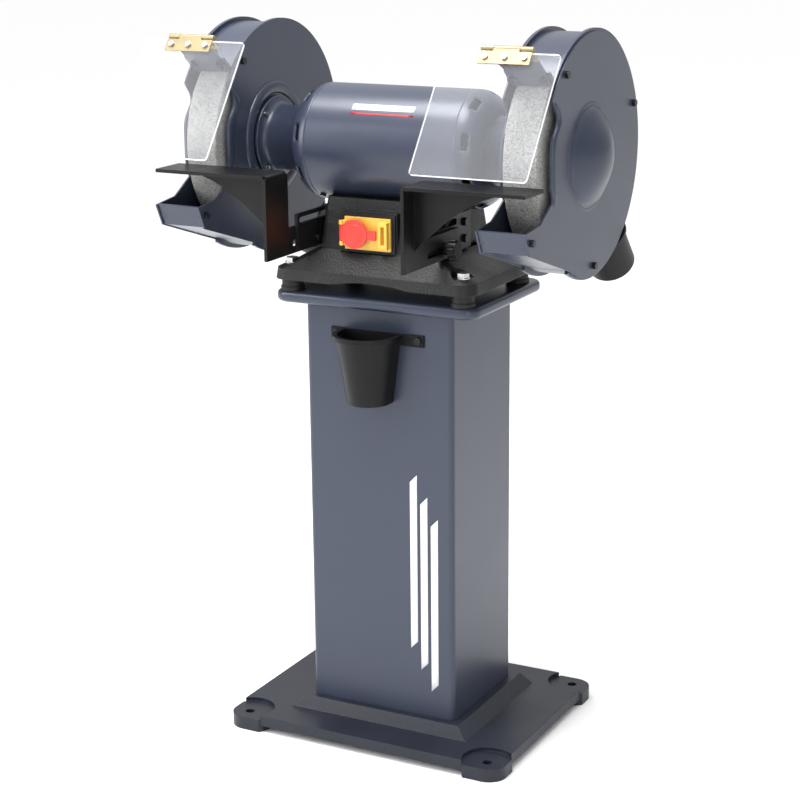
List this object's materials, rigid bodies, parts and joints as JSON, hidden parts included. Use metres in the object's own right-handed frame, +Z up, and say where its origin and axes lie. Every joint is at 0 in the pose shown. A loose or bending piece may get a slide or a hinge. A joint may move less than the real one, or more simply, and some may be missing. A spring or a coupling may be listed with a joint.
{
  "type": "bench grinder",
  "caption": "Floor-standing double-ended grinder: motor with a guarded wheel at each end, hinged eye shields, sliding tool rests, switch with stop flap, on a column stand with a water pot.",
  "frame": {"origin": "on the floor under the middle of the four floor bolts", "axes": "+X along the spindle to the user's right, -Y towards the user, +Z up"},
  "size_m": [0.642, 0.4922, 1.064],
  "materials": {
    "cast_base": "painted, satin",
    "slate_paint": "satin powder coat",
    "black_plastic": "moulded",
    "zinc_steel": "bright zinc",
    "cast_iron": "rough cast, black",
    "black_rubber": "matt",
    "black_steel": "black powder coat",
    "can": "satin",
    "yellow": "gloss",
    "red": "gloss",
    "green": "gloss",
    "core": "laminated",
    "copper": "enamelled copper",
    "steel": "turned",
    "stone": "bonded grit",
    "card": "matt",
    "black_screw": "black oxide",
    "yellow_zinc": "yellow zinc",
    "clear": "clear"
  },
  "bodies": {
    "machine": {"floor_base": "cast_base", "column": "slate_paint", "top_plate": "slate_paint", "column_bolts_low": "zinc_steel", "column_bolts_top": "zinc_steel", "water_pot": "black_plastic", "pot_screws": "black_screw", "grinder_base": "cast_iron", "base_feet": "black_rubber", "base_bolts": "zinc_steel", "bottom_cover": "black_steel", "capacitor": "can", "cable_gland": "black_plastic", "switch_frame": "black_rubber", "switch_housing": "yellow", "motor_shell": "slate_paint", "end_bell_l": "slate_paint", "end_bell_r": "slate_paint", "bell_screws": "black_screw", "stator_core": "core", "stator_windings": "copper", "bearing_outers": "steel", "guard_shell_l": "slate_paint", "guard_shell_r": "slate_paint", "guard_cover_l": "slate_paint", "guard_cover_r": "slate_paint", "cover_screws": "black_screw", "guard_mount_screws": "zinc_steel", "dust_port_l": "black_plastic", "dust_port_r": "black_plastic", "bracket_screws": "black_screw", "rest_brackets": "black_steel", "rest_bracket_screws": "black_screw"},
    "spindle": {"spindle": "steel", "rotor_core": "core", "bearing_inners": "steel", "wheel_l": "stone", "wheel_r": "stone", "blotters": "card", "inner_flanges": "steel", "outer_flanges": "steel", "spindle_nuts": "zinc_steel"},
    "flap": {"stop_flap": "red"},
    "start": {"start_button": "green"},
    "stop": {"stop_button": "red"},
    "arrestor_l": {"shield_bracket_l": "slate_paint", "hinge_leaf_l": "yellow_zinc"},
    "shield_l": {"shield_leaf_l": "yellow_zinc", "eye_shield_l": "clear", "shield_screws_l": "zinc_steel"},
    "rest_l": {"tool_rest_l": "black_steel"},
    "knob_l": {"rest_knob_l": "black_plastic"},
    "arrestor_r": {"shield_bracket_r": "slate_paint", "hinge_leaf_r": "yellow_zinc"},
    "shield_r": {"shield_leaf_r": "yellow_zinc", "eye_shield_r": "clear", "shield_screws_r": "zinc_steel"},
    "rest_r": {"tool_rest_r": "black_steel"},
    "knob_r": {"rest_knob_r": "black_plastic"}
  },
  "joints": [
    {"name": "spindle_spin", "type": "hinge", "parent": "machine", "child": "spindle", "pos_m": [0, -0.014, 0.89], "axis": [1, 0, 0], "continuous": true},
    {"name": "flap_swing", "type": "hinge", "parent": "machine", "child": "flap", "pos_m": [-0.053, -0.1085, 0.773], "axis": [0, 0, -1], "range_deg": [0, 110]},
    {"name": "start_press", "type": "slide", "parent": "machine", "child": "start", "axis": [0, 1, 0], "range_m": [0, 0.003], "stiffness_N_per_m": 400, "springref_m": -0.001},
    {"name": "stop_press", "type": "slide", "parent": "machine", "child": "stop", "axis": [0, 1, 0], "range_m": [0, 0.003], "stiffness_N_per_m": 400, "springref_m": -0.001},
    {"name": "arrestor_slide_l", "type": "slide", "parent": "machine", "child": "arrestor_l", "axis": [0, -0.7598, 0.6501], "range_m": [-0.003, 0.008]},
    {"name": "shield_tilt_l", "type": "hinge", "parent": "arrestor_l", "child": "shield_l", "pos_m": [-0.244, -0.18692, 1.04993], "axis": [1, 0, 0], "range_deg": [-75, 14]},
    {"name": "rest_slide_l", "type": "slide", "parent": "machine", "child": "rest_l", "axis": [0, 1, 0], "range_m": [-0.024, 0.0015]},
    {"name": "knob_turn_l", "type": "hinge", "parent": "machine", "child": "knob_l", "pos_m": [-0.117, -0.1, 0.761], "axis": [-1, 0, 0], "range_deg": [0, 360]},
    {"name": "arrestor_slide_r", "type": "slide", "parent": "machine", "child": "arrestor_r", "axis": [0, -0.7598, 0.6501], "range_m": [-0.003, 0.008]},
    {"name": "shield_tilt_r", "type": "hinge", "parent": "arrestor_r", "child": "shield_r", "pos_m": [0.244, -0.18692, 1.04993], "axis": [1, 0, 0], "range_deg": [-75, 14]},
    {"name": "rest_slide_r", "type": "slide", "parent": "machine", "child": "rest_r", "axis": [0, 1, 0], "range_m": [-0.024, 0.0015]},
    {"name": "knob_turn_r", "type": "hinge", "parent": "machine", "child": "knob_r", "pos_m": [0.117, -0.1, 0.761], "axis": [1, 0, 0], "range_deg": [0, 360]}
  ]
}
